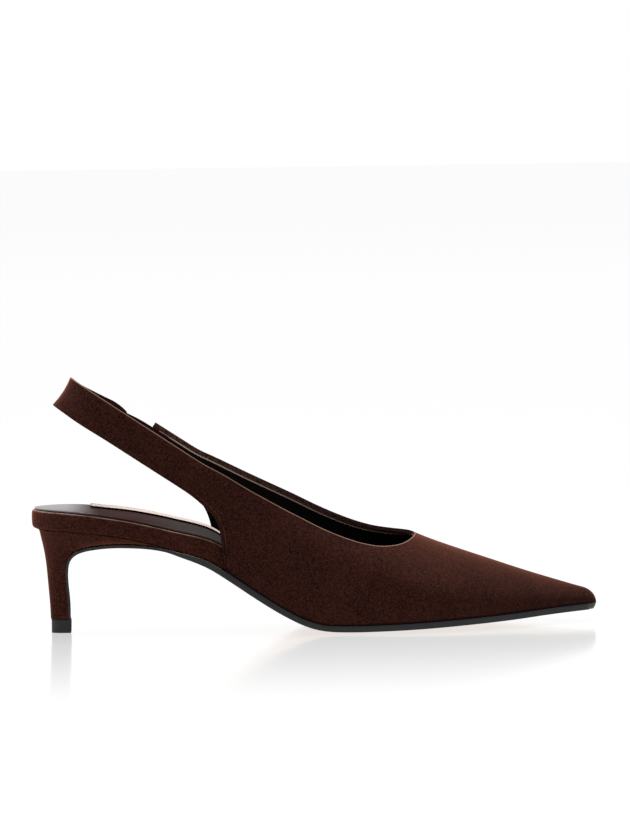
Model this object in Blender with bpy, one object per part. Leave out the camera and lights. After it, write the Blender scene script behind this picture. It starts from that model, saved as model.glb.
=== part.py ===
"""Slingback pump for the right foot, with a pointed toe and a slim covered kitten heel.

Units are metres. +X runs from the heel to the toe, +Y to the inner (medial) side of the foot and +Z up.
Inside the functions x is measured from the back of the heel and y from the middle of the seat. The
origin of the finished part is on the floor, under the middle of its length and width.
"""

import math

import bmesh
import bpy
import numpy as np
from mathutils import Vector

# Shoe
LENGTH = 0.260
SEAT_WIDTH = 0.050
WAIST_WIDTH = 0.042
BALL_WIDTH = 0.074
TOE_WIDTH = 0.0155
SEAT_HEIGHT = 0.0488  # the line that the sole and the insole board follow, drawn on to the back of the shoe
TOE_SPRING = 0.0045
CLEARANCE = 0.0003  # between two pieces that meet

# Outsole
SOLE_EDGE = 0.0026
SOLE_CROWN = 0.0008  # how much further the middle of the sole reaches down than its edges
FLAP_THICKNESS = 0.0012  # where the sole runs on down the front of the heel

# Heel
HEEL_TIP_HEIGHT = 0.006
HEEL_TIP_WIDTH = 0.0098
HEEL_TIP_BACK = 0.0080
HEEL_BREAST = 0.0153  # front face of the heel, from the back of the shoe
HEEL_INSET = 0.0010
HEEL_TIP_STEP = 0.0003  # how far the heel's back stands out past its tip
HEEL_TIP_ROUND = 0.0004

# Insole
SEAT_THICKNESS = 0.0090
BOARD_FRONT = 0.923 * LENGTH
BOARD_INSET = 0.0004  # inside the upper's wall, past its own clearance
SOCK_THICKNESS = 0.0007
SOCK_CROWN = 0.0030
SOCK_INSET = 0.0014
SOCK_SHORT = 0.0040  # the sock ends this far behind the board's front
PANEL_WIDTH = 0.0124
PANEL_BACK = 0.0272
PANEL_LENGTH = 0.0820
PANEL_THICKNESS = 0.0005
PANEL_STEPS = 18

# Upper
WALL = 0.0018
THROAT = 0.6785 * LENGTH  # throat point, from the back of the shoe
THROAT_RISE = 0.038  # throat point above the feather line
THROAT_DEPTH = 0.016
TOPLINE_RISE = 0.0351  # lowest point of the outer topline above the board's underside at the ball
QUARTER_BACK = 0.3354 * LENGTH
QUARTER_BACK_INNER = 0.3277 * LENGTH
QUARTER_STAND = 0.0023  # how far the quarters stand out from the seat's edge
VAMP_STAND = 0.0010

# Sling strap
STRAP_WIDTH = 0.0150
SLING_RISE = 0.0681  # top of the strap at the back, above the board's underside at the back
SLING_SETBACK = 0.0727 * LENGTH
SLING_REACH = 0.2692 * LENGTH  # from the back of the loop to the quarters, along the strap
SLING_HALF_WIDTH = 0.0230
SLING_PITCH = math.radians(33.5)
INNER_LIFT = 0.0030  # how much higher the inner side of the loop lies at the quarter than the outer
STRAP_END = 0.4429 * SLING_REACH  # end of the strap on the inner side, from the back of the loop
STUB_END = 0.6715 * SLING_REACH  # end of the inner quarter, from the back of the loop
ELASTIC_WIDTH = 0.010
ELASTIC_THICKNESS = 0.0011
ELASTIC_LAP = 0.009
ELASTIC_STEPS = 12

# Fineness of the surfaces
ROWS = 8
LOOP_POWER = 2.4

OUTER, INNER = -1, 1

# Columns: share of LENGTH from the heel, the width that the row follows, and as shares of that width
# how far the middle lies to the inner side, and the half widths on the outer and inner side.
SOLE_OUTLINE = (
    (0.000, SEAT_WIDTH, 0.000, 0.486, 0.486),
    (0.120, SEAT_WIDTH, 0.000, 0.500, 0.500),
    (0.220, SEAT_WIDTH, 0.000, 0.492, 0.450),
    (0.300, WAIST_WIDTH, 0.000, 0.570, 0.475),
    (0.380, WAIST_WIDTH, 0.000, 0.590, 0.455),
    (0.450, BALL_WIDTH, 0.000, 0.380, 0.300),
    (0.510, BALL_WIDTH, 0.005, 0.438, 0.372),
    (0.570, BALL_WIDTH, 0.010, 0.486, 0.445),
    (0.630, BALL_WIDTH, 0.015, 0.500, 0.485),
    (0.690, BALL_WIDTH, 0.025, 0.480, 0.475),
    (0.750, BALL_WIDTH, 0.035, 0.428, 0.420),
    (0.810, BALL_WIDTH, 0.045, 0.355, 0.350),
    (0.870, BALL_WIDTH, 0.052, 0.272, 0.268),
    (0.930, BALL_WIDTH, 0.058, 0.180, 0.176),
    (0.970, TOE_WIDTH, 0.280, 0.500, 0.500),
    (1.000, TOE_WIDTH, 0.290, 0.300, 0.300),
)
SEAT_ROUND = 0.031  # length of the rounded back of the seat
TOE_ROUND = 0.008

# Columns: share of LENGTH, then the line that the upper and the insole board stand on, as a share of
# the rise to the seat and a share of TOE_SPRING.
BED_LINE = (
    (0.000, 0.986, 0.000),
    (0.050, 0.978, 0.000),
    (0.100, 0.955, 0.000),
    (0.150, 0.914, 0.000),
    (0.200, 0.848, 0.000),
    (0.250, 0.765, 0.000),
    (0.300, 0.676, 0.000),
    (0.350, 0.496, 0.000),
    (0.400, 0.298, 0.000),
    (0.450, 0.124, 0.000),
    (0.480, 0.044, 0.000),
    (0.515, 0.000, 0.000),
    (0.565, 0.000, 0.000),
    (0.600, 0.000, 0.050),
    (0.650, 0.000, 0.120),
    (0.700, 0.000, 0.210),
    (0.750, 0.000, 0.320),
    (0.800, 0.000, 0.430),
    (0.850, 0.000, 0.580),
    (0.900, 0.000, 0.790),
    (0.950, 0.000, 0.930),
    (1.000, 0.000, 1.000),
)

# Columns: share of LENGTH, height of the last's ridge over the bed line as a share of THROAT_RISE,
# how far it lies to the inner side as a share of BALL_WIDTH, and how square its section is on the
# outer and on the inner side (2 is an ellipse).
LAST_RIDGE = (
    (0.200, 1.700, 0.030, 2.90, 2.90),
    (0.330, 1.690, 0.040, 2.90, 2.90),
    (0.410, 1.685, 0.050, 2.90, 2.80),
    (0.460, 1.655, 0.055, 2.75, 2.70),
    (0.515, 1.534, 0.058, 2.50, 2.60),
    (0.575, 1.324, 0.056, 2.35, 2.55),
    (0.615, 1.200, 0.053, 2.25, 2.50),
    (0.677, 1.000, 0.047, 2.15, 2.40),
    (0.700, 0.925, 0.043, 2.10, 2.35),
    (0.740, 0.812, 0.036, 2.05, 2.25),
    (0.780, 0.705, 0.029, 2.00, 2.20),
    (0.820, 0.598, 0.022, 2.00, 2.15),
    (0.860, 0.485, 0.016, 2.00, 2.10),
    (0.900, 0.374, 0.010, 2.00, 2.10),
    (0.940, 0.275, 0.004, 2.05, 2.10),
    (0.970, 0.205, 0.000, 2.10, 2.10),
    (1.000, 0.190, 0.000, 2.10, 2.10),
)

# Columns: share of LENGTH, how far the side bulges past the feather line, as a share of BALL_WIDTH.
SIDE_BULGE = (
    (0.200, 0.000),
    (0.330, 0.000),
    (0.420, 0.010),
    (0.520, 0.026),
    (0.620, 0.030),
    (0.750, 0.026),
    (0.870, 0.018),
    (0.960, 0.010),
    (1.000, 0.006),
)

# Columns: share of LENGTH, height of the topline on the outer side and on the inner side, as shares
# of the way from its lowest point up to the top of the strap at the back.
TOPLINE = (
    (0.333, 0.444, 0.487),
    (0.378, 0.356, 0.413),
    (0.413, 0.292, 0.357),
    (0.465, 0.196, 0.273),
    (0.517, 0.101, 0.184),
    (0.552, 0.051, 0.131),
    (0.570, 0.029, 0.107),
    (0.585, 0.016, 0.089),
    (0.598, 0.006, 0.076),
    (0.608, 0.002, 0.067),
    (0.623, 0.000, 0.058),
    (0.635, 0.002, 0.053),
)

# Columns: the rear edges of the quarters, from the strap's lower edge (0) to the feather line (1), as
# a share of the way forward, and of the way down on the outer and on the inner side.
REAR_EDGE = (
    (0.000, 0.000, 0.000),
    (0.220, 0.079, 0.105),
    (0.445, 0.178, 0.235),
    (0.620, 0.252, 0.335),
    (0.770, 0.335, 0.450),
    (0.860, 0.429, 0.590),
    (0.907, 0.584, 0.700),
    (0.950, 0.822, 0.860),
    (1.000, 1.000, 1.000),
)

# Columns: share of LENGTH, thickness of the insole board as a share of SEAT_THICKNESS. It thins from
# the covered platform under the heel to the insole under the forepart.
BOARD_LINE = (
    (0.000, 0.960),
    (0.085, 0.950),
    (0.140, 0.900),
    (0.220, 0.915),
    (0.300, 1.000),
    (0.350, 1.000),
    (0.400, 0.860),
    (0.460, 0.560),
    (0.520, 0.340),
    (1.000, 0.333),
)

# Columns: share of LENGTH, height of the sock's padding as a share of SOCK_CROWN.
SOCK_LINE = (
    (0.000, 0.020),
    (0.035, 0.080),
    (0.085, 0.420),
    (0.140, 0.620),
    (0.190, 0.850),
    (0.245, 1.000),
    (0.300, 0.900),
    (0.360, 0.600),
    (0.450, 0.250),
    (0.520, 0.150),
    (1.000, 0.150),
)

# Columns: the line of the sole under the heel, from where it leaves the insole board (1) to the
# breast (0), its height as a share of the height there, and its width between that of the heel's tip
# (0) and that of the seat (1).
HEEL_LINE = (
    (0.899, 1.034, 0.955),
    (0.798, 1.058, 0.935),
    (0.657, 1.074, 0.900),
    (0.497, 1.079, 0.820),
    (0.356, 1.071, 0.690),
    (0.256, 1.055, 0.550),
    (0.175, 1.034, 0.400),
    (0.095, 0.997, 0.230),
    (0.042, 0.945, 0.120),
    (0.014, 0.885, 0.070),
    (0.002, 0.792, 0.035),
    (0.000, 0.686, 0.018),
    (0.010, 0.520, 0.006),
    (0.020, 0.343, 0.000),
)
HEEL_LINE_FOOT = 0.020  # the last point of that line, at the heel's tip

# Columns: share of the way along the heel line up from the tip, then the back of the heel's section
# that starts there: its height as a share of the seat's, its distance from the back of the shoe as a
# share of HEEL_TIP_BACK, how much it follows the seat's outline, and how square it is.
HEEL_SECTIONS = (
    (0.000, 0.000, 1.00, 0.00, 2.6),
    (0.095, 0.278, 0.97, 0.00, 2.5),
    (0.185, 0.420, 0.90, 0.00, 2.4),
    (0.255, 0.560, 0.84, 0.00, 2.3),
    (0.310, 0.670, 0.78, 0.02, 2.3),
    (0.355, 0.760, 0.70, 0.06, 2.3),
    (0.400, 0.830, 0.61, 0.14, 2.3),
    (0.455, 0.885, 0.52, 0.28, 2.4),
    (0.535, 0.932, 0.45, 0.48, 2.5),
    (0.640, 0.962, 0.40, 0.70, 2.6),
    (0.765, 0.982, 0.34, 0.88, 2.8),
    (0.895, 0.991, 0.29, 1.00, 3.0),
)


def smooth_curve(places, values):
    """A curve through the values that rises and falls only where they do."""
    places = np.asarray(places, float)
    values = np.asarray(values, float)
    steps = np.diff(places)
    slopes = np.diff(values) / steps
    tangents = np.zeros(len(places))
    tangents[0] = slopes[0]
    tangents[-1] = slopes[-1]
    for i in range(1, len(places) - 1):
        if slopes[i - 1] * slopes[i] > 0:
            ahead = 2 * steps[i] + steps[i - 1]
            behind = steps[i] + 2 * steps[i - 1]
            tangents[i] = (ahead + behind) / (ahead / slopes[i - 1] + behind / slopes[i])

    def at(place):
        place = min(max(place, places[0]), places[-1])
        i = min(int(np.searchsorted(places, place, side="right")) - 1, len(steps) - 1)
        t = (place - places[i]) / steps[i]
        return float(
            values[i] * (1 + 2 * t) * (1 - t) ** 2
            + values[i + 1] * t * t * (3 - 2 * t)
            + steps[i] * t * (1 - t) * (tangents[i] * (1 - t) - tangents[i + 1] * t)
        )

    return at


def column(table, index, scale=1.0):
    return smooth_curve([row[0] for row in table], [row[index] * scale for row in table])


def curve_through(points):
    """The smooth path through the points, as a function of the share of its length."""
    points = np.asarray(points, float)
    reach = np.concatenate([[0.0], np.cumsum(np.linalg.norm(np.diff(points, axis=0), axis=1))])
    reach /= reach[-1]
    axes = [smooth_curve(reach, points[:, axis]) for axis in range(points.shape[1])]
    return lambda share: np.array([axis(share) for axis in axes])


def evenly(first, last, count):
    """Places from first up to, not including, last."""
    return [first + (last - first) * i / count for i in range(count)]


def ease(value, low, high):
    """0 below low, 1 above high, and a soft step between."""
    t = min(max((value - low) / (high - low), 0.0), 1.0)
    return t * t * (3 - 2 * t)


# Sole outline and bed line

outline_middle = smooth_curve([r[0] for r in SOLE_OUTLINE], [r[1] * r[2] for r in SOLE_OUTLINE])
outline_sides = {
    OUTER: smooth_curve([r[0] for r in SOLE_OUTLINE], [r[1] * r[3] for r in SOLE_OUTLINE]),
    INNER: smooth_curve([r[0] for r in SOLE_OUTLINE], [r[1] * r[4] for r in SOLE_OUTLINE]),
}
BALL_BED = SOLE_EDGE + SOLE_CROWN + CLEARANCE
bed_rise = column(BED_LINE, 1, SEAT_HEIGHT - BALL_BED)
bed_spring = column(BED_LINE, 2, TOE_SPRING)


def toe_cap(x):
    over = min(max(x - (LENGTH - TOE_ROUND), 0.0) / TOE_ROUND, 1.0)
    return math.sqrt(1 - over * over)


def seat_cap(x, back=0.0):
    over = min(max(SEAT_ROUND - x, 0.0) / (SEAT_ROUND - back), 1.0)
    return math.sqrt(1 - over * over)


def half_width(side, x):
    return outline_sides[side](x / LENGTH) * toe_cap(x)


def edge_y(side, x, stand=0.0):
    """The sole's edge on one side, moved out by stand."""
    half = (outline_sides[side](x / LENGTH) + stand) * toe_cap(x) * seat_cap(x)
    return outline_middle(x / LENGTH) + side * half


def bed(x):
    """Height of the line that the upper and the insole board stand on."""
    return BALL_BED + bed_rise(x / LENGTH) + bed_spring(x / LENGTH)


def bed_slope(x, step=0.001):
    return (bed(x + step) - bed(x - step)) / (2 * step)


def bed_lean(x):
    """1 over the cosine of the bed line's slope."""
    return math.hypot(1.0, bed_slope(x))


# Last

ridge_rise = column(LAST_RIDGE, 1, THROAT_RISE)
ridge_shift = column(LAST_RIDGE, 2, BALL_WIDTH)
squareness = {OUTER: column(LAST_RIDGE, 3), INNER: column(LAST_RIDGE, 4)}
side_bulge = column(SIDE_BULGE, 1, BALL_WIDTH)
BULGE_PEAK = 0.238  # largest value of sin * cos ** 6
HIGHEST_SHARE = 0.985  # of the section's height that a place on one side reaches
STAND_EASE = (0.35, 0.56)  # shares of LENGTH between which the wall draws in to the vamp's stand


def wall_stand(x):
    return QUARTER_STAND + (VAMP_STAND - QUARTER_STAND) * ease(x / LENGTH, *STAND_EASE)


def section_rise(x):
    return ridge_rise(x / LENGTH) * toe_cap(x)


def section_angle(side, x, share):
    """The angle at which the section reaches this share of the ridge's height."""
    return math.asin(min(max(share, 0.0), HIGHEST_SHARE) ** (squareness[side](x / LENGTH) / 2))


def section_point(side, x, angle):
    """A point of the last's section at x: angle 0 is the feather line and a right angle the ridge."""
    power = 2 / squareness[side](x / LENGTH)
    up, out = math.sin(angle), max(math.cos(angle), 0.0)
    half = (outline_sides[side](x / LENGTH) + wall_stand(x)) * out**power
    half += side_bulge(x / LENGTH) * up * out**6 / BULGE_PEAK
    y = outline_middle(x / LENGTH) + ridge_shift(x / LENGTH) * up**2 + side * half * toe_cap(x)
    return np.array([x, y, bed(x) + section_rise(x) * up**power])


# Sling strap

SLING_ALONG = np.array([math.cos(SLING_PITCH), 0.0, -math.sin(SLING_PITCH)])
SLING_ACROSS = np.array([math.sin(SLING_PITCH), 0.0, math.cos(SLING_PITCH)])
SLING_TOP = SEAT_HEIGHT + SLING_RISE
LIFT_REACH = (0.014, 0.044)  # along the strap, where the inner side rises


def strap_point(side, reach, across, inward=0.0):
    """A point of the strap's outer face, reach ahead of the loop's back, across its middle line."""
    share = min(max(1 - reach / SLING_REACH, 0.0), 1.0)
    y = side * (SLING_HALF_WIDTH * (1 - share**LOOP_POWER) ** (1 / LOOP_POWER))
    middle = np.array([SLING_SETBACK, 0.0, SLING_TOP]) - SLING_ACROSS * STRAP_WIDTH / 2
    point = middle + SLING_ALONG * reach + SLING_ACROSS * across
    lift = INNER_LIFT * ease(reach, *LIFT_REACH) if side == INNER else 0.0
    return point + np.array([0.0, y - side * inward, lift])


def loop_reach(angle):
    """Reach of the loop's point at this angle, from 0 at the quarter to a right angle at the back."""
    return SLING_REACH * (1 - math.sin(angle) ** (2 / LOOP_POWER))


def loop_angle(reach):
    return math.asin((1 - reach / SLING_REACH) ** (LOOP_POWER / 2))


# Mesh helpers


def finish(name, bm, material, sharp_degrees=38.0):
    """Moves the mesh from the shoe's frame to the part's, and makes it an object."""
    bmesh.ops.translate(bm, verts=bm.verts, vec=Vector((-LENGTH / 2, -MIDDLE_Y, 0.0)))
    mesh = bpy.data.meshes.new(name)
    bm.to_mesh(mesh)
    bm.free()
    mesh.shade_smooth()
    mesh.set_sharp_from_angle(angle=math.radians(sharp_degrees))
    mesh.materials.append(material)
    obj = bpy.data.objects.new(name, mesh)
    bpy.context.scene.collection.objects.link(obj)
    return obj


def make_material(name, colour, roughness):
    material = bpy.data.materials.new(name)
    material.use_nodes = True
    shader = material.node_tree.nodes["Principled BSDF"]
    shader.inputs["Base Color"].default_value = (*colour, 1.0)
    shader.inputs["Roughness"].default_value = roughness
    shader.inputs["Metallic"].default_value = 0.0
    return material


def add_strip(bm, first, second, closed):
    """Faces between two rows of vertices of equal length."""
    count = len(first)
    for i in range(count if closed else count - 1):
        j = (i + 1) % count
        corners = []
        for vert in (first[i], first[j], second[j], second[i]):
            if vert not in corners:
                corners.append(vert)
        if len(corners) > 2:
            bm.faces.new(corners)


def add_ring(bm, points):
    return [bm.verts.new(tuple(point)) for point in points]


def fill_across(bm, ring):
    """Closes a ring whose first half runs down one side and whose second half runs back."""
    count = len(ring)
    for i in range((count - 1) // 2):
        corners = [ring[i], ring[i + 1], ring[count - 2 - i], ring[count - 1 - i]]
        if corners[1] is corners[2]:
            corners.pop(2)
        bm.faces.new(corners)


def stack(bm, rings):
    """A closed body through rings of equal length, from its bottom ring to its top ring."""
    rows = [add_ring(bm, ring) for ring in rings]
    for low, high in zip(rows, rows[1:]):
        add_strip(bm, low, high, closed=True)
    fill_across(bm, rows[0])
    fill_across(bm, rows[-1])
    bmesh.ops.recalc_face_normals(bm, faces=bm.faces)


def sweep(bm, rings):
    """A closed body through rings of equal length, with a face at each end."""
    rows = [add_ring(bm, ring) for ring in rings]
    for near, far in zip(rows, rows[1:]):
        add_strip(bm, near, far, closed=True)
    bm.faces.new(rows[0])
    bm.faces.new(rows[-1])
    bmesh.ops.recalc_face_normals(bm, faces=bm.faces)


# Outsole

TIP_ANGLES = (0.0, 20.0, 38.0, 53.0, 66.0, 77.0, 86.0)
SOLE_STEP = 0.0058
FLAP_STEPS = 24
FLAP_CROWN = (0.45, 1.0)  # shares of the heel line between which the underside gains its crown


def toe_stations(first, step):
    """Places from first to the toe's tip, closer together round the tip."""
    straight = LENGTH - TOE_ROUND
    stations = evenly(first, straight, max(int(round((straight - first) / step)), 1))
    return stations + [straight + TOE_ROUND * math.sin(math.radians(a)) for a in TIP_ANGLES]


SOLE_JOIN = 0.25 * LENGTH  # where the sole leaves the insole board


def heel_line():
    """The upper face of the sole under the heel, from the heel's tip up to the insole board."""
    top = bed(SOLE_JOIN) - CLEARANCE
    span = SOLE_JOIN - HEEL_BREAST
    foot = HEEL_TIP_HEIGHT + CLEARANCE
    points = [(HEEL_BREAST + span * HEEL_LINE_FOOT, foot, 0.0)]
    points += [(HEEL_BREAST + span * u, top * v, w) for u, v, w in reversed(HEEL_LINE)]
    return points + [(SOLE_JOIN, top, 1.0)]


heel_path = curve_through([(x, z) for x, z, _ in heel_line()])
heel_path_width = curve_through(heel_line())


def heel_path_half(side, share):
    """Half width of the sole at this share of the heel line."""
    x, _, spread = heel_path_width(share)
    tip = HEEL_TIP_WIDTH / 2
    return tip + (half_width(side, max(x, SEAT_ROUND)) - tip) * spread


def path_normal(path, share, step=0.002):
    """Unit normal of a path in the XZ plane, to the left of its direction."""
    ahead = path(min(share + step, 1.0)) - path(max(share - step, 0.0))
    ahead /= np.linalg.norm(ahead)
    return np.array([-ahead[1], ahead[0]])


# Columns: place across the sole, from its outer edge (-1) to its inner edge (1), and the share of
# the crown that the underside has lost there.
SOLE_SECTION = ((-1.0, 1.0), (-0.74, 0.35), (-0.5, 0.0), (0.5, 0.0), (0.74, 0.35), (1.0, 1.0))
SOLE_THIN = (0.22, 0.30)  # shares of LENGTH between which the sole gains its full thickness


def sole_ring(middle, normal, halves, centre, thickness, crown):
    """Section of the sole: its flat upper face, then its crowned underside."""
    ring = []
    for side in (OUTER, INNER):
        ring.append((middle[0], centre + side * halves[side], middle[1]))
    for place, lost in reversed(SOLE_SECTION):
        y = centre + place * halves[INNER if place > 0 else OUTER]
        down = thickness + crown * (1 - lost)
        ring.append((middle[0] - normal[0] * down, y, middle[1] - normal[1] * down))
    return ring


def build_outsole():
    rings = []
    for share in evenly(0.0, 1.0, FLAP_STEPS):
        middle = heel_path(share)
        halves = {side: heel_path_half(side, share) for side in (OUTER, INNER)}
        crown = SOLE_CROWN * ease(share, *FLAP_CROWN)
        up = path_normal(heel_path, share)
        rings.append(sole_ring(middle, up, halves, 0.0, FLAP_THICKNESS, crown))
    for x in toe_stations(SOLE_JOIN, SOLE_STEP):
        up = np.array([-bed_slope(x), 1.0]) / bed_lean(x)
        halves = {side: half_width(side, x) for side in (OUTER, INNER)}
        thickness = FLAP_THICKNESS + (SOLE_EDGE - FLAP_THICKNESS) * ease(x / LENGTH, *SOLE_THIN)
        crown = SOLE_CROWN * min(halves[OUTER] * 2 / WAIST_WIDTH, 1.0)
        middle = (x, bed(x) - CLEARANCE)
        rings.append(sole_ring(middle, up, halves, outline_middle(x / LENGTH), thickness, crown))
    bm = bmesh.new()
    sweep(bm, rings)
    return finish("outsole", bm, make_material("sole_leather", (0.58, 0.45, 0.34), 0.5))


# Heel

HEEL_PLACES = tuple(math.sin(math.radians(a)) for a in (0, 9, 19, 30, 42, 54, 66, 78, 90))
HEEL_TURN = (-0.05, 0.35)  # shares of the section's depth between which it takes up the seat's outline


def heel_ring(share, back, follow, power, under_seat=False):
    """Section of the heel from the heel line back to its rear point."""
    front = heel_path(share) + path_normal(heel_path, share) * CLEARANCE
    if under_seat:
        front = np.array([front[0], bed(front[0]) - CLEARANCE])
    sides = {}
    for side in (OUTER, INNER):
        flap = heel_path_half(side, share)
        points = []
        for q in HEEL_PLACES:
            x = front[0] + (back[0] - front[0]) * q
            z = front[1] + (back[1] - front[1]) * q
            start = bed(front[0]) - CLEARANCE
            chord = start + (back[1] - start) * q
            z += (bed(x) - CLEARANCE - chord) * follow**2
            turned = flap * (1 - q**power) ** (1 / power)
            seat = (half_width(side, x) - HEEL_INSET) * seat_cap(x, back[0])
            mix = follow * (1.0 if under_seat else ease(q, *HEEL_TURN))
            points.append((x, side * (turned + (seat - turned) * mix), z))
        sides[side] = points
    return sides[OUTER][:-1] + sides[INNER][::-1]


def build_heel_block():
    foot = HEEL_TIP_HEIGHT + CLEARANCE
    rings = []
    for share, height, setback, follow, power in HEEL_SECTIONS:
        back = (HEEL_TIP_BACK * setback, max(foot, (SEAT_HEIGHT - CLEARANCE) * height))
        rings.append(heel_ring(share, back, follow, power))
    share, _, setback, follow, power = HEEL_SECTIONS[-1]
    back_x = HEEL_TIP_BACK * setback
    rings.append(heel_ring(share, (back_x, bed(back_x) - CLEARANCE), follow, power, True))
    bm = bmesh.new()
    stack(bm, rings)
    return finish("heel_block", bm, make_material("heel_suede", (0.032, 0.012, 0.009), 0.9))


def build_heel_tip():
    """The top piece that the heel stands on."""
    front = heel_path(0.0)[0] + FLAP_THICKNESS
    rings = []
    power = HEEL_SECTIONS[0][-1]
    for z, shrink in ((0.0, HEEL_TIP_ROUND), (HEEL_TIP_ROUND, HEEL_TIP_ROUND / 4), (HEEL_TIP_HEIGHT, 0.0)):
        back = HEEL_TIP_BACK + HEEL_TIP_STEP + shrink
        half = HEEL_TIP_WIDTH / 2 - shrink
        sides = {}
        for side in (OUTER, INNER):
            places = [(front - shrink + (back - front) * q, q) for q in HEEL_PLACES]
            sides[side] = [(x, side * half * (1 - q**power) ** (1 / power), z) for x, q in places]
        rings.append(sides[OUTER][:-1] + sides[INNER][::-1])
    bm = bmesh.new()
    stack(bm, rings)
    return finish("heel_tip", bm, make_material("heel_tip", (0.02, 0.02, 0.02), 0.45))


# Insole

SEAT_ANGLES = (90.0, 78.0, 66.0, 54.0, 42.0, 30.0, 19.0, 9.0)
BOARD_STEP = 0.0052
STEP_IN = (0.325, 0.345)  # shares of LENGTH where the board draws in under the quarters


def board_inset(x):
    return QUARTER_STAND - wall_stand(x) + BOARD_INSET * ease(x / LENGTH, *STEP_IN)


def plate_outline(front, inset, back_inset):
    """Outline from the front corner on the outer side, round the seat, to the inner front corner."""
    stations = evenly(front, SEAT_ROUND, max(int(round((front - SEAT_ROUND) / BOARD_STEP)), 2))
    radius = SEAT_ROUND - back_inset
    stations += [SEAT_ROUND - radius * math.cos(math.radians(a)) for a in SEAT_ANGLES]
    stations.append(back_inset)
    sides = {}
    for side in (OUTER, INNER):
        points = []
        for x in stations:
            half = (half_width(side, x) - inset(x)) * seat_cap(x, back_inset)
            points.append(np.array([x, outline_middle(x / LENGTH) + side * half]))
        sides[side] = points
    return sides[OUTER][:-1] + sides[INNER][::-1]


def spine(point, front):
    """The point of the insole's middle line that an outline point is drawn towards."""
    x = min(max(point[0], SEAT_ROUND), front - 0.2 * SEAT_ROUND)
    return np.array([x, outline_middle(x / LENGTH)])


def drawn_in(outline, front, inset=0.0, share=1.0):
    """The outline moved towards its middle line, by a distance or to a share of its width."""
    moved = []
    for point in outline:
        centre = spine(point, front)
        away = point - centre
        reach = np.linalg.norm(away)
        moved.append(centre + away * max(share - inset / reach, 0.1))
    return moved


board_profile = column(BOARD_LINE, 1, SEAT_THICKNESS)
sock_crown = column(SOCK_LINE, 1, SOCK_CROWN)


def board_thickness(x):
    return board_profile(x / LENGTH)


def board_height(x, share):
    """Height of the board's edge, from its underside (0) to its upper face (1)."""
    return bed(x) + board_thickness(x) * bed_lean(x) * share


# Columns: height up the board's edge as a share of its thickness, and how far it is drawn in.
BOARD_EDGE = ((0.0, 0.0016), (0.06, 0.0006), (0.19, 0.0), (0.86, 0.0), (0.96, 0.0004), (1.0, 0.0012))


def build_insole_board():
    outline = plate_outline(BOARD_FRONT, board_inset, 0.0)
    rings = []
    for share, inset in BOARD_EDGE:
        ring = drawn_in(outline, BOARD_FRONT, inset=inset)
        rings.append([(x, y, board_height(x, share)) for x, y in ring])
    bm = bmesh.new()
    stack(bm, rings)
    return finish("insole_board", bm, make_material("board_suede", (0.034, 0.013, 0.010), 0.9))


SOCK_FRONT = BOARD_FRONT - SOCK_SHORT
SOCK_EASE = (0.31, 0.36)  # shares of LENGTH where the sock widens to the edge of the board
SOCK_SHARES = (0.90, 0.72, 0.5, 0.25)
SOCK_POWER = 2.4
SOCK_SKIN = 0.7  # height of the sock's upright edge as a share of SOCK_THICKNESS


def sock_inset(x):
    return board_inset(x) + SOCK_INSET * (1 - 0.8 * ease(x / LENGTH, *SOCK_EASE))


def sock_height(x, share):
    """Height of the sock's upper face at a share of its half width."""
    crown = sock_crown(x / LENGTH)
    return board_height(x, 1.0) + CLEARANCE + SOCK_THICKNESS + crown * (1 - share**SOCK_POWER)


def build_insole_sock():
    outline = plate_outline(SOCK_FRONT, sock_inset, SOCK_INSET)
    base = [(x, y, board_height(x, 1.0) + CLEARANCE) for x, y in outline]
    rings = [base, [(x, y, z + SOCK_SKIN * SOCK_THICKNESS) for x, y, z in base]]
    for share in SOCK_SHARES:
        ring = drawn_in(outline, SOCK_FRONT, share=share)
        rings.append([(x, y, sock_height(x, share)) for x, y in ring])
    bm = bmesh.new()
    stack(bm, rings)
    return finish("insole_sock", bm, make_material("sock_leather", (0.028, 0.020, 0.020), 0.4))


def build_sock_panel():
    """The bare pale strip let down on the middle of the sock."""
    rings = []
    for i in range(PANEL_STEPS + 1):
        x = PANEL_BACK + PANEL_LENGTH * i / PANEL_STEPS
        ring = []
        for up in (0.0, PANEL_THICKNESS):
            row = []
            for place in (-1.0, -0.5, 0.0, 0.5, 1.0):
                y = place * PANEL_WIDTH / 2
                share = max(abs(y) / (SEAT_WIDTH / 2), SOCK_SHARES[-1])
                row.append((x, y, sock_height(x, share) + CLEARANCE + up))
            ring += row if up else row[::-1]
        rings.append(ring)
    bm = bmesh.new()
    sweep(bm, rings)
    return finish("sock_panel", bm, make_material("sock_panel", (0.60, 0.50, 0.44), 0.6))


# Upper

VAMP_STEP = 0.0068
THROAT_ANGLES = (0.0, 10.0, 20.0, 30.0, 45.0, 60.0)
THROAT_WIDTH = {OUTER: 0.676, INNER: 0.570}  # half widths of the throat's curve as shares of the last's
THROAT_COLUMNS = 24
THROAT_CROWDING = 1.4  # above 1, the columns lie closer together round the throat
REAR_COLUMNS = 8
STUB_COLUMNS = 4
STRAP_COLUMNS = 30
REAR_TOP = 0.415  # share of LENGTH where the quarter's rear columns start on the topline
STRAP_START = SLING_REACH + 0.0006
STRAP_MEET = 0.0040  # length over which the topline runs into the strap's upper edge
STRAP_BLEND = (0.298, 0.430)  # shares of LENGTH between which the strap's face turns into the last's
STRAP_FOOT = (0.18, 0.42)  # shares of the section's height between which it starts to
FAN_START = 0.0035  # how far ahead of the throat point the columns that fan out to it start
FAN_REACH = 0.030  # how far ahead of the throat point they have straightened out
FAN_GAP = 0.6  # where the throat point's own column stands, as a share of FAN_START
FAN_PINCH = 0.35  # spacing of their tops at the throat as a share of that of their feet


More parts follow.
